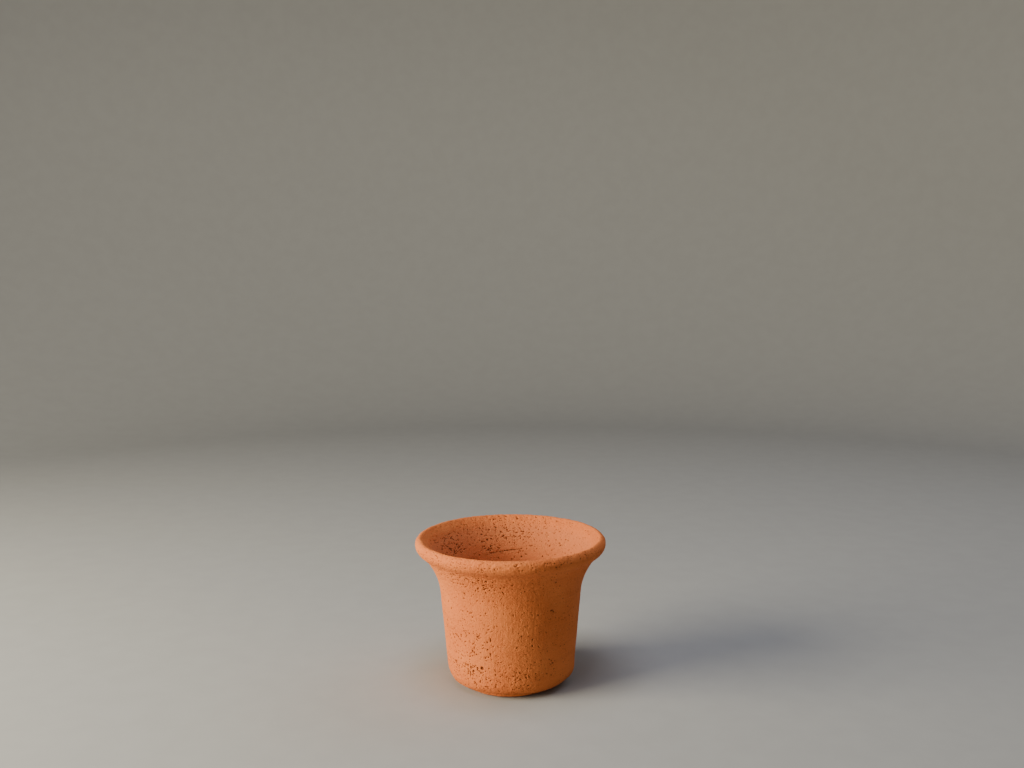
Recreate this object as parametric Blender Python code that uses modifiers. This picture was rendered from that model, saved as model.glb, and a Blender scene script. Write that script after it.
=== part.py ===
"""Flowerpot thrown in terracotta: one piece of fired clay.

The pot is one closed solid of revolution about Z. It stands on z = 0 with its
axis through the origin. A straight wall with a slight taper opens into a
flared mouth, which ends in a rolled bead. The foot's edge is rounded down to a
small step, and a drain hole goes through the middle of the floor.
"""
import math

import bpy

MM = 0.001

# Outside
RIM_RADIUS = 60.0 * MM         # widest point, on the bead
HEIGHT = 93.0 * MM             # ground to the top of the bead
WALL_RADIUS = 39.2 * MM        # straight wall's outer face, carried down to z = 0
TAPER = 0.09                   # growth of the wall's radius for each unit of height
FLARE_START = 58.3 * MM        # height where the wall leaves its straight line
FLARE_REACH = 12.7 * MM        # how far the flare has opened at the bead's centre
BEAD_THICKNESS = 6.8 * MM      # across the rolled lip
BEAD_HEIGHT = 8.8 * MM

# Foot
FOOT_ROUND_WIDTH = 9.0 * MM    # rounding at the bottom of the wall, measured inwards
FOOT_ROUND_HEIGHT = 10.6 * MM  # the same rounding, measured upwards
FOOT_STEP = 1.5 * MM           # how far the rounding ends above the ground
STAND_RADIUS = 30.5 * MM       # edge of the flat face that the pot stands on

# Inside
WALL_THICKNESS = 5.5 * MM
LIP_INSIDE_ANGLE = 132.0       # where the inner face meets the bead, in degrees round it
FLOOR_THICKNESS = 7.0 * MM
INNER_CORNER = 9.0 * MM        # radius between the floor and the inner wall
DRAIN_RADIUS = 8.0 * MM
DRAIN_ROUND = 1.2 * MM         # rounded edges of the drain hole

# Fineness
STEPS = 80                     # flats around the pot
BEAD_POINTS = 6                # points on the bead's outer quarter
LIP_POINTS = 4                 # points on the bead's inner side
FLARE_POINTS = 12              # points from the bead down to the straight wall
CORNER_POINTS = 6              # points on a rounded corner
EDGE_POINTS = 3                # points on a small rounded edge

CLAY_COLOUR = (0.56, 0.21, 0.085, 1.0)
CLAY_ROUGHNESS = 0.95

BEAD_CENTRE_RADIUS = RIM_RADIUS - BEAD_THICKNESS / 2
BEAD_CENTRE_HEIGHT = HEIGHT - BEAD_HEIGHT / 2


def clear_scene():
    """Remove whatever the file holds."""
    for obj in list(bpy.data.objects):
        bpy.data.objects.remove(obj, do_unlink=True)


def straight_radius(z):
    """Outer face of the wall at height z if the taper never opened into the flare."""
    return WALL_RADIUS + TAPER * z


def flare_rise(z):
    """How far up the flare height z is, squared: 0 at its start, 1 at the bead's centre."""
    rise = max(0.0, z - FLARE_START) / (BEAD_CENTRE_HEIGHT - FLARE_START)
    return rise ** 2


def arc(centre, width, height, start, end, count):
    """Points on an ellipse about centre, from one angle in degrees to another."""
    points = []
    for i in range(count):
        angle = math.radians(start + (end - start) * i / (count - 1))
        r = centre[0] + width * math.cos(angle)
        z = centre[1] + height * math.sin(angle)
        points.append((r, z))
    return points


def bead_arc(start, end, count):
    """Points round the bead, where 0 degrees is its widest point and 90 its crest."""
    centre = (BEAD_CENTRE_RADIUS, BEAD_CENTRE_HEIGHT)
    return arc(centre, BEAD_THICKNESS / 2, BEAD_HEIGHT / 2, start, end, count)


def outer_radius(z):
    """Wall or bead at height z, whichever stands further out."""
    wall = straight_radius(z) + FLARE_REACH * flare_rise(z)
    below_centre = (BEAD_CENTRE_HEIGHT - z) / (BEAD_HEIGHT / 2)
    if below_centre > 1.0:
        return wall
    bead = BEAD_CENTRE_RADIUS + BEAD_THICKNESS / 2 * math.sqrt(1.0 - below_centre ** 2)
    return max(wall, bead)


def flare_heights(top):
    """Heights from just under top down to the flare's start, closest together near top."""
    return [top - (top - FLARE_START) * (i / FLARE_POINTS) ** 1.5
            for i in range(1, FLARE_POINTS + 1)]


def outer_wall():
    """Bead's underside, flare and straight wall, down to the foot's rounding."""
    return [(outer_radius(z), z) for z in flare_heights(BEAD_CENTRE_HEIGHT)]


def foot():
    """Rounded edge at the bottom of the wall, the step, and the edge of the flat."""
    top = FOOT_STEP + FOOT_ROUND_HEIGHT
    centre = (straight_radius(top) - FOOT_ROUND_WIDTH, top)
    rounding = arc(centre, FOOT_ROUND_WIDTH, FOOT_ROUND_HEIGHT, 0, -90, CORNER_POINTS)
    return rounding + [(STAND_RADIUS, 0.0)]


def drain_hole():
    """Hole's lower edge, bore and upper edge, going up."""
    reach = DRAIN_RADIUS + DRAIN_ROUND
    low = arc((reach, DRAIN_ROUND), DRAIN_ROUND, DRAIN_ROUND, 270, 180, EDGE_POINTS)
    top = FLOOR_THICKNESS - DRAIN_ROUND
    high = arc((reach, top), DRAIN_ROUND, DRAIN_ROUND, 180, 90, EDGE_POINTS)
    return low + high


def inner_corner():
    """Rounded corner between the floor and the inner wall."""
    top = FLOOR_THICKNESS + INNER_CORNER
    centre = (straight_radius(top) - WALL_THICKNESS - INNER_CORNER, top)
    return arc(centre, INNER_CORNER, INNER_CORNER, 270, 360, CORNER_POINTS)


def inner_wall(lip):
    """Inside of the wall and flare, going up to where the bead starts at point lip."""
    flare = lip[0] - straight_radius(lip[1]) + WALL_THICKNESS
    points = []
    for z in sorted(flare_heights(lip[1])):
        opened = flare * flare_rise(z) / flare_rise(lip[1])
        points.append((straight_radius(z) - WALL_THICKNESS + opened, z))
    return points


def pot_profile():
    """Closed outline of the clay at +X, in radius and height, down its outer side."""
    bead_outside = bead_arc(90, 0, BEAD_POINTS)
    bead_inside = bead_arc(LIP_INSIDE_ANGLE, 90, LIP_POINTS)[:-1]
    return (bead_outside + outer_wall() + foot() + drain_hole()
            + inner_corner() + inner_wall(bead_inside[0]) + bead_inside)


def clay_material():
    material = bpy.data.materials.new("terracotta")
    material.use_nodes = True
    shader = material.node_tree.nodes["Principled BSDF"]
    shader.inputs["Base Color"].default_value = CLAY_COLOUR
    shader.inputs["Roughness"].default_value = CLAY_ROUGHNESS
    shader.inputs["Metallic"].default_value = 0.0
    material.diffuse_color = CLAY_COLOUR
    return material


def turn(name, points, collection):
    """Spin a closed outline about Z into a named object."""
    count = len(points)
    mesh = bpy.data.meshes.new(name)
    verts = [(r, 0.0, z) for r, z in points]
    edges = [(i, (i + 1) % count) for i in range(count)]
    mesh.from_pydata(verts, edges, [])
    obj = bpy.data.objects.new(name, mesh)
    collection.objects.link(obj)
    screw = obj.modifiers.new("turn", "SCREW")
    screw.axis = "Z"
    screw.angle = 2 * math.pi
    screw.steps = STEPS
    screw.render_steps = STEPS
    screw.use_merge_vertices = True
    screw.merge_threshold = 0.01 * MM
    screw.use_smooth_shade = True
    return obj


def build():
    clear_scene()
    collection = bpy.data.collections.new("terracotta_pot")
    bpy.context.scene.collection.children.link(collection)
    pot = turn("pot", pot_profile(), collection)
    pot.data.materials.append(clay_material())


build()
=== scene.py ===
# %% [markdown]
# # A thrown terracotta flowerpot
#
# This lesson makes one piece of fired clay: a small flowerpot with a tapered body, a flared mouth, a
# rolled lip and a rounded foot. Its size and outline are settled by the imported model, which is loaded
# here as a fixed frame. What is left to do is the clay itself: the marks of the potter's hands, the
# pits where coarse grains tore out, the colour of the fired body and the light that shows it.
#
# The units are metres, Z is up and the pot stands on z = 0. Azimuths are in degrees, 0 at the front
# of the pot, which faces -Y, and growing to the viewer's right.

# %% Load the frame
import math

import bpy
import numpy as np
from mathutils import Matrix, Vector


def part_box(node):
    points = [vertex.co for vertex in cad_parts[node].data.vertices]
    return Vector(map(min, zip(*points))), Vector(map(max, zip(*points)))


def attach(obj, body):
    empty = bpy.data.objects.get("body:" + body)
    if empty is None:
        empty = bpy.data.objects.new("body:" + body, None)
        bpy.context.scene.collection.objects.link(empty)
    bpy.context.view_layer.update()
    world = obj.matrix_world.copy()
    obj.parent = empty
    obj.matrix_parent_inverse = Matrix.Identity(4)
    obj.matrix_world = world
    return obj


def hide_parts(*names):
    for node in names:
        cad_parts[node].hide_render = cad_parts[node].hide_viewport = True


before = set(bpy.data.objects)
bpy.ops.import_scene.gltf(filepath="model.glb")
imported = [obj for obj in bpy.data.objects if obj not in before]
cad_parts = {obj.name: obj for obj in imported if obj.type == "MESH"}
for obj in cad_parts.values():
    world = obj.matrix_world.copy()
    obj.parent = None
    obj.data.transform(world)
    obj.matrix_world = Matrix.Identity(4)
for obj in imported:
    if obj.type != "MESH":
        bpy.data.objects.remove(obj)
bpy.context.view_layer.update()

MM = 0.001
POT_NODE = "pot"

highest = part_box(POT_NODE)[1]
RIM_RADIUS = highest.x
HEIGHT = highest.z
print(f"rim radius {RIM_RADIUS / MM:.1f} mm, height {HEIGHT / MM:.1f} mm")

# %% [markdown]
# ## The outline
#
# A thrown pot is a solid of revolution, so half its cross-section says nearly everything about its
# form. The outline could be typed in again here, but then it could drift from the frame. Reading it
# off the frame's own mesh is safer: the corners that lie on the plane y = 0 at +X are the outline, and
# the mesh's edges say in which order they come.

# %% Read the outline off the frame
ON_THE_PLANE = 0.001 * MM


def outline_of(node):
    """Corners of a node's cut at +X as (radius, height), from the crest down the outer side."""
    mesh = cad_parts[node].data
    corner = {v.index: (round(v.co.x, 6), round(v.co.z, 6)) for v in mesh.vertices
              if abs(v.co.y) < ON_THE_PLANE and v.co.x > 0}
    joined = {}
    for edge in mesh.edges:
        a, b = (corner.get(i) for i in edge.vertices)
        if a and b and a != b:
            joined.setdefault(a, set()).add(b)
            joined.setdefault(b, set()).add(a)
    crest = max(joined, key=lambda point: point[1])
    path = [crest, max(joined[crest])]
    while True:
        onward = (joined[path[-1]] - {path[-2]}).pop()
        if onward == crest:
            return np.array(path)
        path.append(onward)


corners = outline_of(POT_NODE)
print(f"outline: {len(corners)} corners")

# %% [markdown]
# Wet clay has no sharp corners. The outline is walked at a fine, even step and each point is averaged
# with its neighbours, which turns the facets of the frame into one soft curve and fills the crease
# under the lip a little, as a wet thumb does.

# %% Soften the outline
WALK = 0.1 * MM
THUMB = 0.8 * MM


def along_path(path):
    """Distance walked to each point of a closed path, with the way back to the start last."""
    closed = np.vstack([path, path[:1]])
    return np.r_[0.0, np.cumsum(np.hypot(*np.diff(closed, axis=0).T))], closed


def walk(path, places):
    """Points of a closed path at the given distances along it."""
    along, closed = along_path(path)
    return np.c_[np.interp(places, along, closed[:, 0]), np.interp(places, along, closed[:, 1])]


def soften(path, reach, step):
    """Average each point of an evenly walked closed path with its neighbours."""
    width = int(3 * reach / step)
    soft = np.zeros_like(path)
    total = 0.0
    for offset in range(-width, width + 1):
        weight = math.exp(-0.5 * (offset * step / reach) ** 2)
        soft += weight * np.roll(path, offset, axis=0)
        total += weight
    return soft / total


length = along_path(corners)[0][-1]
fine_path = soften(walk(corners, np.arange(0.0, length, WALK)), THUMB, WALK)
print(f"outline: {length / MM:.0f} mm round, softened over {THUMB / MM:.1f} mm")

# %% [markdown]
# ## The turned sheet
#
# The surface is one closed sheet: rings of points round the pot, one ring for each station along the
# outline. The stations are close together where the clay is seen and further apart under the foot and
# in the drain hole. The sheet is far finer than the finished mesh, because marks of half a millimetre
# are pressed into it before it is thinned.

# %% Choose the stations
SEEN_STEP = 0.27 * MM
HIDDEN_STEP = 0.6 * MM
COLUMNS = 1080
UNDERSIDE_TOP = 0.2 * MM       # outer stations below this are hidden under the pot
DRAIN_TOP = 7.5 * MM           # stations below this and inside the next radius line the drain hole
DRAIN_REACH = 27 * MM

heights = fine_path[:, 1]
radii = fine_path[:, 0]
half_way = int(np.argmin(radii))
outer_part = np.arange(len(fine_path)) < half_way
under_pot = outer_part & (heights < UNDERSIDE_TOP)
hidden = under_pot | ((heights < DRAIN_TOP) & (radii < DRAIN_REACH))
step_here = np.where(hidden, HIDDEN_STEP, SEEN_STEP)
along = along_path(fine_path)[0]
cells = np.r_[0.0, np.cumsum(np.diff(along) / step_here)]
length = along[-1]
places = np.interp(np.arange(0.0, int(cells[-1])), cells, along)

stations = walk(fine_path, places)
before, after = np.roll(stations, 1, axis=0), np.roll(stations, -1, axis=0)
tangent = (after - before) / np.linalg.norm(after - before, axis=1)[:, None]
normals = np.c_[-tangent[:, 1], tangent[:, 0]]
STATION_RADIUS, STATION_HEIGHT = stations.T
ROWS = len(stations)
row_outside = places < along[half_way]
print(f"sheet: {ROWS} stations by {COLUMNS} columns")

# %% [markdown]
# A column's angle is measured from the front. Three small helpers answer the questions that the marks
# ask: which station is at this height on this side, which one comes up by chance, and where in space
# are the sheet's points.

# %% Places on the sheet
FOOT_INSIDE = 28 * MM          # walls are outside this radius, floor and drain hole inside it
azimuths = np.linspace(-math.pi, math.pi, COLUMNS, endpoint=False)


def station_at(side, height):
    """Index of the station nearest a height on the pot's outer or inner wall."""
    wanted = row_outside if side == "outside" else ~row_outside
    away = np.where(wanted & (STATION_RADIUS > FOOT_INSIDE), np.abs(STATION_HEIGHT - height), np.inf)
    return int(np.argmin(away))


def station_by_chance(chance):
    """Index of a station picked evenly over the pot's whole skin, from a number in 0 to 1."""
    skin = np.cumsum(STATION_RADIUS * np.r_[np.diff(places), SEEN_STEP])
    return int(np.searchsorted(skin, chance * skin[-1]))


def sheet_points(rise):
    """The sheet's points in space, lifted along their normals by rise."""
    r = STATION_RADIUS[:, None] + normals[:, :1] * rise
    z = STATION_HEIGHT[:, None] + normals[:, 1:] * rise + 0.0 * azimuths
    return np.stack([r * np.sin(azimuths), -r * np.cos(azimuths), z], axis=-1)


print(f"places: one column every {360 / COLUMNS:.2f} degrees")

# %% [markdown]
# ## Soft noise
#
# Everything uneven about the pot comes from one helper: a box of random numbers, read with smooth
# blending between them. It is seeded, so the pot is the same each time it is made.

# %% Noise helper
LATTICE = 64


def soft_noise(points, size, seed):
    """Smooth random values from -1 to 1 at each point, with features about size across."""
    lattice = np.random.default_rng(seed).uniform(-1.0, 1.0, (LATTICE,) * 3).astype(np.float32)
    scaled = points / size + 0.37 * LATTICE
    cell = np.floor(scaled).astype(np.int32)
    part = (scaled - cell).astype(np.float32)
    part = part * part * (3.0 - 2.0 * part)
    value = np.zeros(points.shape[:-1], np.float32)
    for corner in range(8):
        step = np.array([corner & 1, corner >> 1 & 1, corner >> 2 & 1])
        weight = np.prod(np.where(step, part, 1.0 - part), axis=-1)
        x, y, z = np.moveaxis((cell + step) % LATTICE, -1, 0)
        value += weight * lattice[x, y, z]
    return value


def smooth_step(low, high, value):
    """0 below low, 1 above high, and a smooth slope between."""
    t = np.clip((value - low) / (high - low), 0.0, 1.0)
    return t * t * (3.0 - 2.0 * t)


def band(value, limits):
    """1 between the two inner limits, 0 beyond the outer ones."""
    return smooth_step(limits[0], limits[1], value) * (1 - smooth_step(limits[2], limits[3], value))


print(f"noise: seeded lattices, {LATTICE} numbers a side")

# %% [markdown]
# ## What hands and wheel leave
#
# No thrown pot is truly round. It leans and swells by a few tenths of a millimetre, and the fingers
# that raised the wall leave faint rings that climb slowly as they go round. Inside, where fingertips
# pressed, the rings are plainer. Outside they were wiped almost smooth, apart from one line at the
# height where the straight wall starts to flare.

# %% Wobble and throwing rings
WOBBLE = 0.16 * MM
LUMPS = 0.08 * MM
RING_SPACING = 3.4 * MM
RING_OUTSIDE = 0.045 * MM
RING_INSIDE = 0.12 * MM
CLIMB = 5.0 * MM               # how far a ring climbs in one turn
RING_REACH = 60 * MM           # how far round the pot a ring keeps its strength
FLARE_LINE = 58.6 * MM
FLARE_LINE_WIDTH = 0.45 * MM
FLARE_LINE_DEPTH = 0.08 * MM

base = sheet_points(0.0)
outside = row_outside[:, None].astype(np.float32)
rise = WOBBLE * soft_noise(base, 45 * MM, seed=11)
rise += LUMPS * soft_noise(base, 9 * MM, seed=12)

climbed = base[..., 2] + CLIMB * azimuths / (2 * math.pi)
ring_field = np.stack([climbed / RING_SPACING, base[..., 0] / RING_REACH, base[..., 1] / RING_REACH], -1)
ring_depth = np.where(row_outside, RING_OUTSIDE, RING_INSIDE)[:, None]
rings = soft_noise(ring_field, 1.0, seed=13) + 0.5 * soft_noise(ring_field * 2.3, 1.0, seed=14)
rise += ring_depth * rings

line = outside * np.exp(-((base[..., 2] - FLARE_LINE) / FLARE_LINE_WIDTH) ** 2)
rise -= FLARE_LINE_DEPTH * line * smooth_step(-0.4, 0.5, soft_noise(base, 20 * MM, seed=15))
print(f"wobble and rings: {rise.min() / MM:.2f} to {rise.max() / MM:.2f} mm")

# %% [markdown]
# The lip was closed with a strip of wet leather held over the rim. It fills the hollow just under the
# lip and thins the inner side of the crest, so the rim ends in a fairly crisp edge. The frame's outline
# could be changed instead, but half a millimetre is finish and not form, so it belongs to the skin.

# %% The leather's touch
LEATHER_FILL = 0.45 * MM
FILLED_AT = 82.8 * MM
FILL_REACH = 1.7 * MM
LEATHER_THIN = 0.65 * MM
THINNED_AT = -2.3 * MM         # walked from the crest, inwards
THIN_REACH = 2.6 * MM
hollow = np.exp(-((base[..., 2] - FILLED_AT) / FILL_REACH) ** 2)
from_crest = np.where(places > length / 2, places - length, places)
thinning = np.exp(-((from_crest - THINNED_AT) / THIN_REACH) ** 2)[:, None]
rise += LEATHER_FILL * hollow * outside - LEATHER_THIN * thinning
print(f"leather: {rise.min() / MM:.2f} to {rise.max() / MM:.2f} mm")

# %% [markdown]
# The skin of the clay is never smooth either. Sand just under the surface makes it bumpy all over, most
# of all inside, under the lip and at the foot. Fingers leave low lumps on the lip, and a damp cloth,
# pulled down the wall, draws fine upright streaks where it pressed hard. A bump in the material would be
# quicker, but it vanishes on the outline of the pot, where the eye looks first.

# %% Sandy skin and upright streaks
SAND_SIZE = 0.62 * MM
SAND_OUTSIDE = 0.072 * MM
SAND_INSIDE = 0.085 * MM
STREAK_WIDTH = 0.55 * MM
STREAK_DEPTH = 0.075 * MM
LIP_ZONE = (70 * MM, 76 * MM, 83 * MM, 86 * MM)
FOOT_ZONE = (3 * MM, 6 * MM, 18 * MM, 26 * MM)
CREST_EDGE = (86 * MM, 90 * MM)
LIP_EDGE = (84 * MM, 88 * MM)
LIP_LUMPS = 0.13 * MM
WIPED = (8 * MM, 16 * MM, 76 * MM, 84 * MM)    # the heights that the cloth passed over

patchy = 0.5 + 0.5 * soft_noise(base, 16 * MM, seed=21)
rough_zone = np.maximum(band(base[..., 2], LIP_ZONE), 0.8 * band(base[..., 2], FOOT_ZONE)) * outside
rough_zone = np.maximum(rough_zone, smooth_step(*CREST_EDGE, base[..., 2]))
skin = np.where(row_outside, SAND_OUTSIDE, SAND_INSIDE)[:, None] * (0.55 + 0.75 * patchy)
skin *= 1 + 0.7 * rough_zone
rise += skin * soft_noise(base, SAND_SIZE, seed=22)
rise += 0.75 * skin * soft_noise(base, 2.2 * SAND_SIZE, seed=23)

on_lip = smooth_step(*LIP_EDGE, base[..., 2])
lumps = soft_noise(base, 4.2 * MM, seed=26) + 0.6 * soft_noise(base, 1.7 * MM, seed=27)
rise += LIP_LUMPS * on_lip * lumps

streak_field = base * np.array([1.0, 1.0, 0.12])
streaks = smooth_step(0.05, 0.75, soft_noise(streak_field, STREAK_WIDTH, seed=24))
cloth = smooth_step(-0.3, 0.4, soft_noise(base * np.array([1, 1, 0.5]), 22 * MM, seed=25))
rise -= STREAK_DEPTH * streaks * cloth * outside * band(base[..., 2], WIPED)
print(f"skin: {rise.min() / MM:.2f} to {rise.max() / MM:.2f} mm")

# %% [markdown]
# ## Pits, gouges and grains
#
# The clay holds coarse sand and crushed brick. When the wheel's turner or a wet sponge passes, some of
# these grains roll out and leave a pit, and some drag along first and leave a short gouge. Each mark is
# a stamp: a small patch of the sheet is pushed in where it lies inside an uneven oval. A second sheet
# of numbers holds painted shade for each mark, more the deeper the mark, and later darkens the clay
# there.

# %% Stamp helper
# Marks are darkened with painted shade, more the deeper they are.
FULL_SHADE_DEPTH = 0.3 * MM           # a mark this deep is as dark as a mark gets
mark_shade_mask = np.zeros((ROWS, COLUMNS), np.float32)
pressed = np.zeros((ROWS, COLUMNS), np.float32)
marks = np.random.default_rng(20)


def patch(row, azimuth, reach):
    """Rows and columns within reach of a place, and how far each point is down and across."""
    near = np.nonzero(np.abs((places - places[row] + length / 2) % length - length / 2) < reach)[0]
    spread = min(math.pi, reach / STATION_RADIUS[row])
    centre = (azimuth + math.pi) / (2 * math.pi) * COLUMNS
    count = int(spread / (2 * math.pi) * COLUMNS) + 1
    columns = np.arange(int(centre) - count, int(centre) + count + 2)
    angle = (columns - centre) * 2 * math.pi / COLUMNS
    down = (places[near] - places[row])[:, None] + 0.0 * angle
    across = STATION_RADIUS[near][:, None] * angle
    return np.ix_(near, columns % COLUMNS), down, across


def oval(down, across, wide, tall, tilt, ragged):
    """1 in the middle of an uneven oval, 0 at its edge and beyond, with a steep side."""
    c, s = math.cos(tilt), math.sin(tilt)
    u, v = across * c + down * s, down * c - across * s
    around = np.arctan2(v / tall, u / wide)
    turn = marks.uniform(0, 2 * math.pi, 3)
    edge = 1 + ragged * (0.5 * np.cos(2 * around + turn[0]) + 0.35 * np.cos(3 * around + turn[1])
                         + 0.25 * np.cos(5 * around + turn[2]))
    inside = 1 - np.hypot(u / wide, v / tall) / edge
    return smooth_step(0.0, 0.75, inside)


def press(row, azimuth, wide, tall, tilt, depth, ragged=0.45):
    """Push an oval mark into the sheet at a station. wide and tall are its whole size."""
    where, down, across = patch(row, math.radians(azimuth), 0.75 * max(wide, tall) + SEEN_STEP)
    shape = oval(down, across, wide / 2, tall / 2, math.radians(tilt), ragged)
    pressed[where] = np.maximum(pressed[where], depth * shape)
    # Painted shade: the mark's share of the fullest shade goes into the shade sheet.
    mark_shade_mask[where] = np.maximum(mark_shade_mask[where], shape * min(1.0, depth / FULL_SHADE_DEPTH))


print(f"stamps: marks up to {FULL_SHADE_DEPTH / MM:.1f} mm deep darken with depth")

# %% [markdown]
# Pits gather. Where the sponge lingered they are sparse, and where the turner bit they come in rows.
# The groups below are listed; everything else is strewn thinly over the whole pot.

# %% Where the pits gather
# side, azimuth from and to, height from and to in mm, count, narrowest and widest in mm
PIT_GROUPS = (
    ("outside", -70, -22, 17.0, 21.5, 46, 0.7, 1.6),    # a row low on the left
    ("outside", -30, -22, 19.3, 20.8, 6, 1.4, 2.3),     # its largest holes
    ("outside", -40, -30, 14.0, 16.5, 6, 0.7, 1.4),     # and a few below it
    ("outside", -68, -15, 25, 44, 76, 0.7, 1.6),        # above it
    ("outside", -66, -10, 72, 84.5, 120, 0.6, 1.6),     # under the lip on the left
    ("outside", -14, 40, 70, 84, 84, 0.5, 1.2),         # under the lip, further round
    ("outside", -14, 18, 5, 26, 100, 0.5, 1.2),         # rough patch at the foot
    ("outside", 14, 62, 10, 62, 60, 0.5, 1.3),          # scattered on the right
    ("outside", -80, -10, 6, 74, 190, 0.7, 1.3),        # thinly over the whole left
    ("outside", -70, 70, 84.5, 91, 90, 0.5, 1.1),       # on the lip itself
    ("inside", 140, 220, 88, 92.8, 60, 0.5, 1.3),       # on the far rim
    ("outside", 95, 150, 14, 26, 70, 0.6, 1.6),         # the low row comes round again
    ("outside", 60, 120, 60, 84, 70, 0.5, 1.3),
    ("outside", 150, 215, 58, 84, 110, 0.5, 1.5),
    ("outside", 225, 290, 30, 54, 70, 0.5, 1.4),
    ("outside", 200, 290, 72, 84, 80, 0.5, 1.4),
    ("inside", 226, 258, 73, 87, 44, 0.6, 1.5),         # torn patch inside on the left
    ("inside", 190, 216, 72, 88, 34, 0.7, 1.6),
    ("inside", 164, 188, 79, 86, 28, 0.6, 1.6),
    ("inside", 130, 180, 66, 88, 70, 0.5, 1.2),
    ("inside", 186, 262, 83, 91, 90, 0.5, 1.2),
    ("inside", 130, 190, 84, 92, 60, 0.5, 1.2),
    ("inside", 80, 140, 62, 92, 90, 0.5, 1.2),
    ("inside", 20, 110, 36, 84, 120, 0.5, 1.5),
    ("inside", -60, 20, 30, 86, 130, 0.5, 1.6),
    ("inside", 120, 290, 10, 74, 190, 0.5, 1.5),
    ("inside", -70, 70, 90.5, 92.9, 70, 0.5, 1.3),      # nicks along the near inner edge
    ("outside", -75, 75, 86, 92.6, 110, 0.5, 1.2),      # and round the lip's front
    ("outside", -75, -20, 4, 18, 90, 0.6, 1.3),         # at the foot on the left
)
print(f"pit groups: {len(PIT_GROUPS)}")

# %% [markdown]
# Small pits are far commoner than large ones, so a chance between 0 and 1 is raised to a power before
# it picks a width. Inside, where the fingers dragged, the holes are drawn out longer along the turn.

# %% Press the pits
STREWN = 2200
LEAST_STREWN = 0.45            # mm
MOST_STREWN = 1.1              # mm
SLIM_OUTSIDE = 1.8
SLIM_INSIDE = 2.8
SLIM_STREWN = 2.0


def pit(row, azimuth, width, slim):
    """One torn-out grain: a ragged hole, drawn out along the wheel's turn by up to slim."""
    stretch = marks.uniform(0.7, slim)
    depth = width * marks.uniform(0.4, 0.62)
    press(row, azimuth, width * stretch ** 0.5, width / stretch ** 0.5, marks.normal(0, 30), depth)


count = 0
for side, az_from, az_to, z_from, z_to, number, least, most in PIT_GROUPS:
    slim = SLIM_OUTSIDE if side == "outside" else SLIM_INSIDE
    for _ in range(number):
        width = least + (most - least) * marks.random() ** 2.0
        row = station_at(side, marks.uniform(z_from, z_to) * MM)
        pit(row, marks.uniform(az_from, az_to), width * MM, slim)
        count += 1
for _ in range(STREWN):
    width = LEAST_STREWN + (MOST_STREWN - LEAST_STREWN) * marks.random() ** 2.5
    pit(station_by_chance(marks.random()), marks.uniform(0, 360), width * MM, SLIM_STREWN)
    count += 1
print(f"pits: {count}")

# %% [markdown]
# Gouges are long thin ovals. The largest cross the inside on the left, where dry clay tore, and one
# curved drag line and one straight hairline run round the far wall. Shorter slashes are strewn near them.

# %% Where the gouges lie
# side, azimuth, height in mm, length in mm, width in mm, tilt in degrees
GOUGES = (
    ("inside", 243, 80.6, 4.4, 1.0, 28),
    ("inside", 240, 78.4, 5.0, 1.1, 24),
    ("inside", 236, 76.0, 3.6, 0.9, 35),
    ("inside", 229, 77.4, 5.4, 1.0, -22),
    ("inside", 225, 79.0, 3.4, 0.8, -30),
    ("inside", 224, 75.4, 3.0, 0.9, -12),
    ("inside", 232, 82.8, 3.4, 0.8, 50),
    ("inside", 247, 77.2, 3.0, 0.9, 40),
    ("inside", 252, 80.0, 2.6, 0.9, 15),
    ("inside", 200, 78.6, 2.4, 1.3, 8),
    ("inside", 204, 82.5, 2.0, 1.2, -30),
    ("inside", 197, 84.6, 1.9, 1.2, 10),
    ("inside", 181, 83.4, 3.6, 0.9, -14),
    ("inside", 175, 82.4, 2.6, 1.1, -24),
    ("inside", 170, 81.6, 2.4, 1.0, -10),
    ("inside", 133, 78.0, 1.8, 1.3, 0),
    ("inside", 114, 90.5, 2.8, 0.8, -12),
    ("inside", 153, 89.0, 1.7, 1.2, 0),
    ("outside", -40, 80.8, 3.2, 0.8, 34),
    ("outside", -34, 79.6, 3.4, 0.9, 38),
    ("outside", -29, 78.4, 3.0, 1.0, 60),
    ("outside", -22, 79.6, 3.0, 0.8, 22),
    ("outside", -26, 76.6, 1.8, 1.1, 80),
    ("outside", -18, 75.0, 2.0, 1.0, 85),
    ("outside", 34, 56.0, 2.9, 1.2, -6),
    ("outside", 38, 21.6, 1.9, 1.3, 0),
    ("outside", 33, 75.0, 1.8, 1.4, 60),
    ("inside", -1, 92.3, 3.2, 0.9, 4),
    ("inside", 11, 92.5, 3.6, 0.8, -5),
    ("inside", -14, 92.4, 2.0, 0.9, 8),
    ("inside", 183, 92.5, 2.6, 1.0, 30),
    ("inside", 188, 92.3, 1.8, 1.0, -30),
    ("outside", 30, 89.0, 2.4, 0.7, -8),
    ("outside", 5, 87.6, 2.2, 0.7, 70),
    ("outside", 120, 40.0, 3.2, 0.8, 12),
    ("outside", 205, 28.0, 2.8, 0.9, -16),
)

# side, azimuth from and to, height from and to in mm, count
SLASH_GROUPS = (
    ("inside", 224, 258, 74, 87, 34),
    ("inside", 158, 218, 69, 88, 34),
    ("outside", -62, -8, 73, 84, 26),
    ("outside", 100, 280, 66, 84, 40),
    ("inside", -70, 110, 40, 88, 50),
)
print(f"gouges: {len(GOUGES)}, slash groups: {len(SLASH_GROUPS)}")

# %% [markdown]
# A long line can't be one oval, because a dragged grain skips and digs in by turns. So a line is a row
# of short strokes that overlap, each a little off the last, with some left out.

# %% Press the gouges and drag lines
GOUGE_DEPTH = 0.42 * MM
LINE_DEPTH = 0.26 * MM
STROKE_TURN = 1.1              # degrees from one stroke to the next


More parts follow.
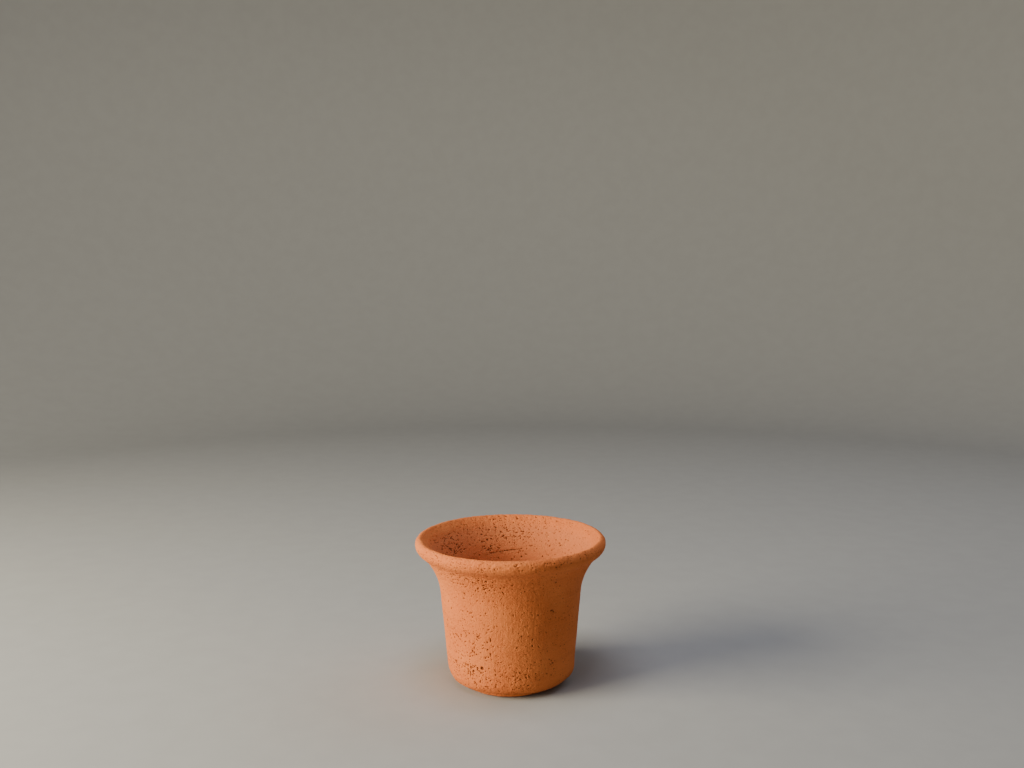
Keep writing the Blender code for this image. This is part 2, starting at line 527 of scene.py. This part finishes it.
def drag_line(side, az_from, az_to, z_from, z_to, width, gaps):
    """A line of short strokes, broken where gaps is high."""
    strokes = int(abs(az_to - az_from) / STROKE_TURN)
    for i in range(strokes):
        part = i / (strokes - 1)
        if marks.random() < gaps:
            continue
        row = station_at(side, (z_from + (z_to - z_from) * part + marks.normal(0, 0.08)) * MM)
        press(row, az_from + (az_to - az_from) * part, marks.uniform(1.0, 1.9) * MM,
              width * marks.uniform(0.6, 1.3) * MM, marks.normal(0, 6), LINE_DEPTH, ragged=0.25)


for side, azimuth, height, long, width, tilt in GOUGES:
    press(station_at(side, height * MM), azimuth, long * MM, width * MM, tilt, GOUGE_DEPTH, ragged=0.3)
slashes = 0
for side, az_from, az_to, z_from, z_to, number in SLASH_GROUPS:
    for _ in range(number):
        row = station_at(side, marks.uniform(z_from, z_to) * MM)
        press(row, marks.uniform(az_from, az_to), marks.uniform(1.6, 3.4) * MM,
              marks.uniform(0.5, 0.85) * MM, marks.normal(20, 28), 0.7 * GOUGE_DEPTH, ragged=0.3)
        slashes += 1
drag_line("inside", 199, 170, 70.4, 72.6, 0.9, 0.12)
drag_line("inside", 187, 171, 79.8, 79.9, 0.45, 0.05)
drag_line("inside", 262, 215, 70.0, 68.5, 0.6, 0.4)
drag_line("inside", 60, 20, 74.0, 73.0, 0.6, 0.3)
print(f"pressed: {len(GOUGES) + slashes} gouges and slashes, and four drag lines")

# %% [markdown]
# Three more kinds of mark: grains that stayed in and stand a little proud, the dents that a rim
# collects from fingers and from being stacked, and two low swells where the soft foot was set down. One
# helper makes them all, because a dent is a grain turned inside out.

# %% Grains, rim dents and foot swells
GRAINS = 520
LEAST_GRAIN = 0.7              # mm
MOST_GRAIN = 1.4               # mm
GRAIN_RISE = 0.13              # height of a grain as a share of its width
raised = np.zeros((ROWS, COLUMNS), np.float32)


def lift(row, azimuth, width, amount):
    """Raise a smooth round bump. A negative amount makes a shallow dent instead."""
    where, down, across = patch(row, math.radians(azimuth), 0.6 * width)
    near = np.hypot(down, across) / (width / 2)
    raised[where] += amount * np.clip(1 - near ** 2, 0, 1) ** 2


for _ in range(GRAINS):
    width = marks.uniform(LEAST_GRAIN, MOST_GRAIN) * MM
    lift(station_by_chance(marks.random()), marks.uniform(0, 360), width, width * GRAIN_RISE)

# side, azimuth, height in mm, width in mm, depth in mm
RIM_DENTS = (
    ("inside", -3, 92.6, 3.2, 0.34), ("inside", 2, 92.7, 2.2, 0.34), ("inside", 8, 92.5, 3.6, 0.3),
    ("inside", -12, 92.4, 2.4, 0.25), ("inside", 15, 92.6, 2.8, 0.25), ("inside", 22, 92.6, 2.0, 0.25),
    ("inside", -40, 92.5, 2.6, 0.3), ("outside", -24, 91.8, 5.0, 0.2), ("outside", 35, 90.0, 4.0, 0.2),
    ("inside", 183, 92.6, 3.0, 0.55), ("outside", 178, 92.2, 2.2, 0.4), ("inside", 172, 92.4, 2.4, 0.3),
    ("inside", 196, 92.5, 2.6, 0.4), ("inside", 208, 92.6, 2.0, 0.4), ("inside", 214, 92.3, 3.4, 0.3),
    ("inside", 150, 92.6, 4.0, 0.25), ("outside", 112, 92.0, 3.0, 0.2), ("outside", 70, 91.0, 6.0, 0.2),
    ("outside", -95, 91.5, 5.0, 0.2), ("inside", 240, 92.4, 3.0, 0.35), ("inside", 88, 92.3, 3.4, 0.25),
)
for side, azimuth, height, width, depth in RIM_DENTS:
    lift(station_at(side, height * MM), azimuth, width * MM, -depth * MM)

# side, azimuth, height in mm, width in mm, rise in mm
FOOT_SWELLS = (("outside", -58, 5.0, 28, 0.42), ("outside", 76, 8.5, 17, 0.75))
for side, azimuth, height, width, amount in FOOT_SWELLS:
    lift(station_at(side, height * MM), azimuth, width * MM, amount * MM)
print(f"grains: {GRAINS}, rim dents: {len(RIM_DENTS)}, foot swells: {len(FOOT_SWELLS)}")

# %% [markdown]
# The foot was cut from the wheel with a wire and its edge pared with a wooden knife. The knife left a
# crease a few millimetres up, and under it a thin rim of clay that swells out, plain at the front and
# faint elsewhere. Then everything is added up, and nothing is left below the plane the pot stands on.

# %% Foot, and the whole surface
RIM_SWELL = 0.95 * MM
CREASE_HEIGHT = 3.2 * MM
CREASE_WIDTH = 0.6 * MM
CREASE_DEPTH = 0.6 * MM
FRONT_OF_CREASE = math.radians(-8)
HALF_FRONT = math.radians(34)
FOOT_WAVE = 0.2 * MM
FOOT_TOP = (4 * MM, 13 * MM)
SWOLLEN = (-1 * MM, 0.0, 1.7 * MM, 2.7 * MM)
CREASE_SHADE = 0.4

on_foot = outside * (STATION_RADIUS > FOOT_INSIDE)[:, None]
foot_weight = on_foot * (1 - smooth_step(*FOOT_TOP, base[..., 2]))
rise += FOOT_WAVE * foot_weight * soft_noise(base * np.array([1, 1, 2.5]), 9 * MM, seed=16)

front = np.exp(-((azimuths - FRONT_OF_CREASE) / HALF_FRONT) ** 4)
pared = np.maximum(front, 0.55 * smooth_step(0.0, 0.6, soft_noise(base, 24 * MM, seed=17)))
ragged_edge = 0.5 + 0.5 * smooth_step(-0.5, 0.3, soft_noise(base, 2.6 * MM, seed=18))
swell = band(base[..., 2], SWOLLEN)
crease_wave = CREASE_HEIGHT + 0.4 * MM * soft_noise(base * np.array([1, 1, 0.1]), 8 * MM, seed=19)
crease = np.exp(-((base[..., 2] - crease_wave) / CREASE_WIDTH) ** 2) * ragged_edge
rise += on_foot * pared * (RIM_SWELL * swell - CREASE_DEPTH * crease)
# Painted shade in the foot's crease, laid into the marks' shade sheet.
mark_shade_mask = np.maximum(mark_shade_mask, CREASE_SHADE * on_foot * pared * crease)
rise += raised - pressed

surface = sheet_points(rise)
surface[..., 2] = np.maximum(surface[..., 2], 0.0)
print(f"surface: {rise.min() / MM:.2f} to {rise.max() / MM:.2f} mm from the outline")

# %% [markdown]
# ## From sheet to mesh
#
# The rows and columns become one closed mesh of quads. Decimation then removes most of the triangles,
# and takes them from the smooth clay first, so the pits keep theirs. The painted shade of each mark,
# which grows with its depth, goes along as an attribute of the mesh, and so does a value that is 1 on the
# inside of the pot.

# %% Mesh helpers
def closed_sheet(name, points, values):
    """A mesh of quads from a sheet that closes both ways round."""
    rows, columns = points.shape[:2]
    index = np.arange(rows * columns, dtype=np.int32).reshape(rows, columns)
    down, right = np.roll(index, -1, axis=0), np.roll(index, -1, axis=1)
    both = np.roll(down, -1, axis=1)
    quads = np.stack([index, down, both, right], axis=-1).reshape(-1, 4)
    mesh = bpy.data.meshes.new(name)
    mesh.vertices.add(rows * columns)
    mesh.vertices.foreach_set("co", points.astype(np.float32).ravel())
    mesh.loops.add(quads.size)
    mesh.loops.foreach_set("vertex_index", quads.ravel())
    mesh.polygons.add(len(quads))
    mesh.polygons.foreach_set("loop_start", np.arange(0, quads.size, 4, dtype=np.int32))
    mesh.update(calc_edges=True)
    for label, numbers in values.items():
        layer = mesh.attributes.new(label, "FLOAT", "POINT")
        layer.data.foreach_set("value", numbers.astype(np.float32).ravel())
    mesh.validate()
    return mesh


def thinned(obj, triangles):
    """Replace an object's mesh with a decimated one of about this many triangles."""
    thin = obj.modifiers.new("thin", "DECIMATE")
    thin.ratio = triangles / (2 * len(obj.data.polygons))
    evaluated = obj.evaluated_get(bpy.context.evaluated_depsgraph_get())
    fine, name = obj.data, obj.data.name
    obj.data = bpy.data.meshes.new_from_object(evaluated)
    obj.modifiers.clear()
    bpy.data.meshes.remove(fine)
    obj.data.name = name
    return obj


print("mesh helpers: closed_sheet, thinned")

# %% [markdown]
# The inside of the pot gets a duller clay colour. The value that marks it fades out just below the rim.

# %% Build the mesh
MOST_TRIANGLES = 390_000
INSIDE_ENDS = (84 * MM, 91 * MM)
MARK_SHADE_NAME = "painted_mark_shade"
INSIDE_NAME = "inside"

inside = (1 - outside) * np.ones(COLUMNS) * (1 - smooth_step(*INSIDE_ENDS, base[..., 2]))
sheet = closed_sheet("thrown_clay_pot", surface, {MARK_SHADE_NAME: mark_shade_mask, INSIDE_NAME: inside})
pot = bpy.data.objects.new("thrown_clay_pot", sheet)
bpy.context.scene.collection.objects.link(pot)
thinned(pot, MOST_TRIANGLES)
pot.data.shade_smooth()
print(f"mesh: {len(pot.data.vertices)} points, {len(pot.data.polygons)} faces")

# %% [markdown]
# ## Fired clay as a material
#
# Fired terracotta is matte and dusty. Its colour changes in three sizes: cloudy patches a few
# centimetres wide from uneven firing, faint bands and streaks that follow the wheel and the sponge, and
# a salt and pepper of sand under a millimetre. Each of these is a node group, so each can be tuned by
# itself.

# %% Node helpers
def new_group(name, inputs, outputs):
    """An empty shader group with named sockets, and its input and output nodes."""
    tree = bpy.data.node_groups.new(name, "ShaderNodeTree")
    for label, kind, value in inputs:
        socket = tree.interface.new_socket(label, in_out="INPUT", socket_type=kind)
        if value is not None:
            socket.default_value = value
    for label, kind in outputs:
        tree.interface.new_socket(label, in_out="OUTPUT", socket_type=kind)
    return tree, tree.nodes.new("NodeGroupInput"), tree.nodes.new("NodeGroupOutput")


def add(tree, kind, links=(), **settings):
    """Add a node, set its properties and sockets, and link sources into it."""
    node = tree.nodes.new("ShaderNode" + kind)
    for key, value in settings.items():
        setattr(node, key, value)
    for socket, source in dict(links).items():
        if hasattr(source, "is_linked"):
            tree.links.new(source, node.inputs[socket])
        else:
            node.inputs[socket].default_value = source
    return node


def place(tree, group, **values):
    """Place a node group in a tree, with values or links for its inputs."""
    node = tree.nodes.new("ShaderNodeGroup")
    node.node_tree = group
    node.label = group.name
    for label, source in values.items():
        socket = node.inputs[label.replace("_", " ")]
        if hasattr(source, "is_linked"):
            tree.links.new(source, socket)
        else:
            socket.default_value = source
    return node


VALUE, VECTOR = "NodeSocketFloat", "NodeSocketVector"
print("node helpers: new_group, add, place")

# %% [markdown]
# Most unevenness in clay has a direction: rings run round with the wheel, a cloth wipes upright, clouds
# from the kiln have none. One noise texture does for all of them if its position is divided by a
# stretch first. The group puts out a mask with soft edges, and the material decides what it tints.

# %% Drawn noise: noise stretched along one direction
def drawn_noise_group():
    """Noise whose grain is stretched, for rings, streaks and clouds."""
    tree, given, made = new_group(
        "drawn_noise",
        [("Position", VECTOR, None), ("Stretch", VECTOR, (1, 1, 1)), ("Size", VALUE, 0.01),
         ("Detail", VALUE, 2.0), ("Low", VALUE, 0.35), ("High", VALUE, 0.65)],
        [("Mask", VALUE)])
    shrunk = add(tree, "VectorMath", {0: given.outputs["Position"], 1: given.outputs["Stretch"]},
                 operation="DIVIDE")
    scale = add(tree, "Math", {0: 1.0, 1: given.outputs["Size"]}, operation="DIVIDE")
    noise = add(tree, "TexNoise", {"Vector": shrunk.outputs[0], "Scale": scale.outputs[0],
                                   "Detail": given.outputs["Detail"]})
    spread = add(tree, "MapRange", {"Value": noise.outputs["Fac"],
                                    "From Min": given.outputs["Low"],
                                    "From Max": given.outputs["High"]},
                 interpolation_type="SMOOTHSTEP")
    tree.links.new(spread.outputs["Result"], made.inputs["Mask"])
    return tree


drawn_noise = drawn_noise_group()
print("group:", drawn_noise.name)

# %% [markdown]
# Sand is different from a cloud: each grain has an edge and a shade of its own. Painted dots would
# repeat, so the grains come from the cells of a Voronoi texture. A cell's random colour says whether it
# holds a grain and how strong that grain shows.

# %% Sand: single grains in the clay
def sand_group():
    """Scattered grains: a mask of round spots, each with its own random value."""
    tree, given, made = new_group(
        "sand",
        [("Position", VECTOR, None), ("Size", VALUE, 0.001), ("Share", VALUE, 0.2),
         ("Roundness", VALUE, 0.35)],
        [("Mask", VALUE), ("Tone", VALUE)])
    scale = add(tree, "Math", {0: 1.0, 1: given.outputs["Size"]}, operation="DIVIDE")
    cells = add(tree, "TexVoronoi", {"Vector": given.outputs["Position"],
                                     "Scale": scale.outputs[0], "Randomness": 1.0})
    tone = add(tree, "SeparateColor", {"Color": cells.outputs["Color"]})
    chosen = add(tree, "Math", {0: tone.outputs["Red"], 1: given.outputs["Share"]},
                 operation="LESS_THAN")
    spot = add(tree, "MapRange", {"Value": cells.outputs["Distance"], "From Min": 0.1,
                                  "From Max": given.outputs["Roundness"], "To Min": 1.0,
                                  "To Max": 0.0}, interpolation_type="SMOOTHSTEP")
    mask = add(tree, "Math", {0: spot.outputs["Result"], 1: chosen.outputs[0]},
               operation="MULTIPLY")
    tree.links.new(mask.outputs[0], made.inputs["Mask"])
    tree.links.new(tone.outputs["Green"], made.inputs["Tone"])
    return tree


sand = sand_group()
print("group:", sand.name)

# %% [markdown]
# Colour comes next. Terracotta isn't one orange: it is paler where the fire was hottest, redder where
# the wheel or the cloth packed it, duller inside, and nearly brown in a hole that light hardly reaches.

# %% Colours of the fired clay
CLAY = (0.63, 0.160, 0.043, 1)
PALE_CLAY = (0.75, 0.223, 0.063, 1)
RED_CLAY = (0.44, 0.098, 0.028, 1)
# PIT_SHADE is painted shade: the dark of a hole that light hardly reaches.
PIT_SHADE = (0.145, 0.034, 0.012, 1)
INSIDE_CLAY_TONE = (0.53, 0.175, 0.076, 1)
PALE_GRAIN = (0.84, 0.42, 0.18, 1)
DARK_GRAIN = (0.17, 0.036, 0.012, 1)
print("fired clay, in linear red, green and blue:", CLAY[:3])

# %% [markdown]
# The material reads the object's own coordinates, in metres, so a size in a group is a real size. All
# the masks are made in one place, because the colour and the bump share some of them: a dark grain is
# also a little hollow, and a wiped streak is also a little low. Rings and streaks take turns, patch by
# patch, so that they never cross and look woven.

# %% Kinds of noise and grain
EVEN = (1, 1, 1)
ROUND_THE_POT = (30, 30, 1)
UP_THE_WALL = (1, 1, 14)
# name: size, detail, low, high, stretch
NOISES = {
    "clouds": (28 * MM, 3.0, 0.38, 0.66, EVEN),
    "rings": (2.6 * MM, 3.0, 0.42, 0.66, ROUND_THE_POT),
    "wiped": (1.6 * MM, 2.0, 0.44, 0.68, UP_THE_WALL),
    "speckle": (0.9 * MM, 4.0, 0.35, 0.65, EVEN),
    "patches": (19 * MM, 2.0, 0.40, 0.62, EVEN),
    "torn": (14 * MM, 2.0, 0.40, 0.62, EVEN),
    "fine": (0.35 * MM, 4.0, 0.3, 0.7, EVEN),
}
# name: size, share of the cells, roundness
GRAIN_KINDS = {
    "pale": (1.2 * MM, 0.14, 0.36),
    "dark": (1.3 * MM, 0.22, 0.34),
    "pores": (2.1 * MM, 0.26, 0.27),
}
print(f"masks: {len(NOISES)} noises and {len(GRAIN_KINDS)} kinds of grain")

# %% [markdown]
# Some masks only make sense together. A ring shows only in some patches, a grain is as strong as its
# own tone, and pores open only where the clay tore. Two more masks come with the mesh.

# %% Put the masks together
SHADE_BEGINS = 0.08
SHADE_FULL = 0.55


def math_node(tree, operation, a, b):
    """One Math node with two inputs."""
    return add(tree, "Math", {0: a, 1: b}, operation=operation).outputs[0]


def clay_masks(tree):
    """Every mask that the clay's colour or bump uses, by name."""
    position = add(tree, "TexCoord").outputs["Object"]
    masks, tones = {}, {}
    for name, (size, detail, low, high, stretch) in NOISES.items():
        group = place(tree, drawn_noise, Position=position, Stretch=stretch, Size=size,
                      Detail=detail, Low=low, High=high)
        masks[name] = group.outputs["Mask"]
    for name, (size, share, roundness) in GRAIN_KINDS.items():
        group = place(tree, sand, Position=position, Size=size, Share=share, Roundness=roundness)
        masks[name], tones[name] = group.outputs["Mask"], group.outputs["Tone"]
    unringed = math_node(tree, "SUBTRACT", 1.0, masks["patches"])
    masks["ringed"] = math_node(tree, "MULTIPLY", masks["rings"], masks["patches"])
    masks["streaked"] = math_node(tree, "MULTIPLY", masks["wiped"], unringed)
    masks["pale_grain"] = math_node(tree, "MULTIPLY", masks["pale"], tones["pale"])
    masks["dark_grain"] = math_node(tree, "MULTIPLY", masks["dark"], tones["dark"])
    # Pores get painted shade in the colour as well as a dip in the bump.
    masks["shaded_pores"] = math_node(tree, "MULTIPLY", masks["pores"], masks["torn"])
    masks["inside"] = add(tree, "Attribute", attribute_name=INSIDE_NAME).outputs["Fac"]
    # The painted shade of the pits, gouges and foot crease, read from the mesh.
    depth = add(tree, "Attribute", attribute_name=MARK_SHADE_NAME).outputs["Fac"]
    masks["shade_in_marks"] = add(tree, "MapRange", {"Value": depth, "From Min": SHADE_BEGINS,
                                              "From Max": SHADE_FULL},
                           interpolation_type="SMOOTHSTEP").outputs["Result"]
    return masks


print(f"marks darken from {SHADE_BEGINS} to {SHADE_FULL} of full depth")

# %% [markdown]
# Tints are laid one over the other, as slips and washes would be: the broad ones first, then the sand,
# then the marks. A table keeps their order and strength in plain sight.

# %% Fired colour
# mask, strength from 0 to 1, colour
TINTS = (
    ("clouds", 0.55, PALE_CLAY),
    ("ringed", 0.26, RED_CLAY),
    ("streaked", 0.24, RED_CLAY),
    ("speckle", 0.36, PALE_CLAY),
    ("inside", 0.5, INSIDE_CLAY_TONE),
    ("pale_grain", 0.55, PALE_GRAIN),
    ("dark_grain", 0.70, DARK_GRAIN),
    # The last two tints are painted shade, in the pores and in the pressed marks and the foot's crease.
    ("shaded_pores", 0.8, PIT_SHADE),
    ("shade_in_marks", 0.88, PIT_SHADE),
)


def mix(tree, factor, under, over):
    """Mix two colours by a factor."""
    node = add(tree, "Mix", data_type="RGBA", blend_type="MIX")
    for socket, source in ((0, factor), (6, under), (7, over)):
        if hasattr(source, "is_linked"):
            tree.links.new(source, node.inputs[socket])
        else:
            node.inputs[socket].default_value = source
    return node.outputs[2]


def fired_colour(tree, masks):
    """The clay's colour with every tint laid on."""
    colour = CLAY
    for name, strength, over in TINTS:
        colour = mix(tree, math_node(tree, "MULTIPLY", masks[name], strength), colour, over)
    return colour


print(f"tints: {len(TINTS)} over the plain clay")

# %% [markdown]
# The pits and the sand are real geometry, but a mesh can't hold grain finer than a third of a
# millimetre. That last bit is a bump, which bends the light and leaves the shape alone.

# %% Bump of the fine grain
GRAIN_HEIGHT = 0.12 * MM
# mask, height as a share of GRAIN_HEIGHT
BUMPS = (
    ("fine", 0.5),
    ("speckle", 0.8),
    ("dark", -1.4),
    ("pale", 0.9),
    ("wiped", -0.4),
    ("shaded_pores", -3.0),
)


def fine_grain(tree, masks):
    """The normal that the fine grain gives."""
    height = 0.0
    for name, amount in BUMPS:
        height = math_node(tree, "ADD", height, math_node(tree, "MULTIPLY", masks[name], amount))
    bump = add(tree, "Bump", {"Height": height, "Distance": GRAIN_HEIGHT, "Strength": 1.0})
    return bump.outputs["Normal"]


print(f"bump: {GRAIN_HEIGHT / MM:.2f} mm of grain")

# %% [markdown]
# The material itself is now short: a colour, a normal, and two plain values for a surface that is
# nearly matte. Fired clay has no glaze, so it needs no coat and only a trace of shine.

# %% The clay material
CLAY_ROUGHNESS = 0.92
CLAY_SHINE = 0.2


def terracotta():
    """The fired clay, outside and inside."""
    material = bpy.data.materials.new("fired_terracotta")
    material.use_nodes = True
    tree = material.node_tree
    shader = tree.nodes["Principled BSDF"]
    masks = clay_masks(tree)
    tree.links.new(fired_colour(tree, masks), shader.inputs["Base Color"])
    tree.links.new(fine_grain(tree, masks), shader.inputs["Normal"])
    shader.inputs["Roughness"].default_value = CLAY_ROUGHNESS
    shader.inputs["Specular IOR Level"].default_value = CLAY_SHINE
    return material


pot.data.materials.clear()
pot.data.materials.append(terracotta())
print("material:", pot.data.materials[0].name)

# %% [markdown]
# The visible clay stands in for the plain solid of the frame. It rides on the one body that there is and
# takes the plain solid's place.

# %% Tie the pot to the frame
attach(pot, "root")
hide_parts(POT_NODE)
print("tied:", pot.name, "stands in for", POT_NODE)

# %% [markdown]
# ## The studio
#
# The pot stands in a shallow round bowl of pale paper: a photographer's sweep turned full circle, so
# that every side has the same quiet ground. A flat plane with a wall behind would be simpler, but it
# would show its edge from the other sides.

# %% The paper sweep
FLOOR_RADIUS = 1.0
SWEEP_RADIUS = 0.5
WALL_TOP = 1.5
CURVE_STEPS = 12
TURN_STEPS = 96


def paper_sweep():
    """A round floor that curves up into a wall."""
    outline = [(0.0, 0.0), (FLOOR_RADIUS, 0.0)]
    for i in range(1, CURVE_STEPS + 1):
        angle = math.radians(i * 90 / CURVE_STEPS)
        outline.append((FLOOR_RADIUS + SWEEP_RADIUS * math.sin(angle),
                        SWEEP_RADIUS * (1 - math.cos(angle))))
    outline.append((FLOOR_RADIUS + SWEEP_RADIUS, WALL_TOP))
    mesh = bpy.data.meshes.new("paper_sweep")
    mesh.from_pydata([(r, 0.0, z) for r, z in reversed(outline)],
                     [(i, i + 1) for i in range(len(outline) - 1)], [])
    sweep = bpy.data.objects.new("paper_sweep", mesh)
    bpy.context.scene.collection.objects.link(sweep)
    turn = sweep.modifiers.new("turn", "SCREW")
    turn.steps = turn.render_steps = TURN_STEPS
    turn.use_merge_vertices = True
    turn.merge_threshold = 0.00001
    turn.use_smooth_shade = True
    turn.use_normal_flip = True
    return sweep


sweep = paper_sweep()
print(f"sweep: {2 * (FLOOR_RADIUS + SWEEP_RADIUS):.0f} m across")

# %% [markdown]
# The paper is a quiet grey, so that it neither dazzles nor throws much light back at the shaded side.
# It uses the same drawn noise as the clay, for a fibre that is only just there.

# %% The paper's material
PAPER = (0.37, 0.372, 0.378, 1)
FIBRE_SHADE = 0.97
FIBRE_SIZE = 20 * MM
PAPER_ROUGHNESS = 0.9
PAPER_SHINE = 0.15


def paper():
    """Matte pale paper with a very faint fibre."""
    material = bpy.data.materials.new("pale_paper")
    material.use_nodes = True
    tree = material.node_tree
    position = add(tree, "TexCoord").outputs["Object"]
    fibre = place(tree, drawn_noise, Position=position, Size=FIBRE_SIZE, Detail=5.0, Low=0.3, High=0.7)
    darker = tuple(c * FIBRE_SHADE for c in PAPER[:3]) + (1,)
    colour = mix(tree, fibre.outputs["Mask"], darker, PAPER)
    shader = tree.nodes["Principled BSDF"]
    tree.links.new(colour, shader.inputs["Base Color"])
    shader.inputs["Roughness"].default_value = PAPER_ROUGHNESS
    shader.inputs["Specular IOR Level"].default_value = PAPER_SHINE
    return material


sweep.data.materials.append(paper())
print("stage:", sweep.name)

# %% [markdown]
# Three soft lamps stand for a room: a low window on the left that draws the pot's roundness, a weak
# ceiling, and the glow that a wall behind throws back, which keeps colour in the shaded side. One big
# lamp and a bright sky would be easier, but they would flatten the pits.

# %% Light
# name, azimuth, elevation, distance, size, power in watts and colour
LAMPS = (
    ("window", -70.0, 18.0, 1.1, 0.65, 28.5, (1.0, 0.90, 0.65)),
    ("ceiling", -25.0, 78.0, 1.1, 0.6, 5.6, (0.96, 0.98, 1.06)),
    ("wall_glow", 118.0, 46.0, 1.1, 0.6, 1.55, (0.95, 0.98, 1.08)),
)
SKY = (0.9, 0.95, 1.0, 1)
SKY_STRENGTH = 0.02
CENTRE = Vector((0, 0, HEIGHT / 2))


def hang_lamp(name, azimuth, elevation, distance, size, power, colour):
    """Hang a square lamp round the pot's middle and turn it to face the pot."""
    data = bpy.data.lights.new(name, "AREA")
    data.energy = power
    data.shape = "SQUARE"
    data.size = size
    data.color = colour
    lamp = bpy.data.objects.new(name, data)
    bpy.context.scene.collection.objects.link(lamp)
    a, e = math.radians(azimuth), math.radians(elevation)
    out = Vector((math.sin(a) * math.cos(e), -math.cos(a) * math.cos(e), math.sin(e)))
    lamp.location = CENTRE + distance * out
    lamp.rotation_euler = (-out).to_track_quat("-Z", "Y").to_euler()
    return lamp


for lamp in LAMPS:
    hang_lamp(*lamp)

world = bpy.data.worlds.new("studio")
world.use_nodes = True
bpy.context.scene.world = world
background = world.node_tree.nodes["Background"]
background.inputs["Color"].default_value = SKY
background.inputs["Strength"].default_value = SKY_STRENGTH
print(f"lights: {len(LAMPS)} lamps and a faint sky")

# %% [markdown]
# The camera stands in front of the pot and above its rim, level with the eye of someone seated at the
# shelf, and looks slightly down past it. It is held a third of a degree off level.

# %% Camera
CAMERA_DISTANCE = 0.6774
CAMERA_HEIGHT = 0.2724
CAMERA_ASIDE = 0.00165
CAMERA_PITCH = -7.0
CAMERA_ROLL = -0.36
LENS = 38.67

camera_data = bpy.data.cameras.new("camera")
camera_data.lens = LENS
camera_data.sensor_width = 36.0
camera_data.clip_start = 0.01
camera = bpy.data.objects.new("camera", camera_data)
bpy.context.scene.collection.objects.link(camera)
upright = Matrix.Rotation(math.radians(90 + CAMERA_PITCH), 4, "X")
rolled = Matrix.Rotation(math.radians(CAMERA_ROLL), 4, "Z")
camera.matrix_world = (Matrix.Translation((CAMERA_ASIDE, -CAMERA_DISTANCE, CAMERA_HEIGHT))
                       @ upright @ rolled)
bpy.context.scene.camera = camera
print("camera:", [round(c, 4) for c in camera.location])

# %% [markdown]
# Last, the view layer is brought up to date.

# %% Finish
bpy.context.view_layer.update()
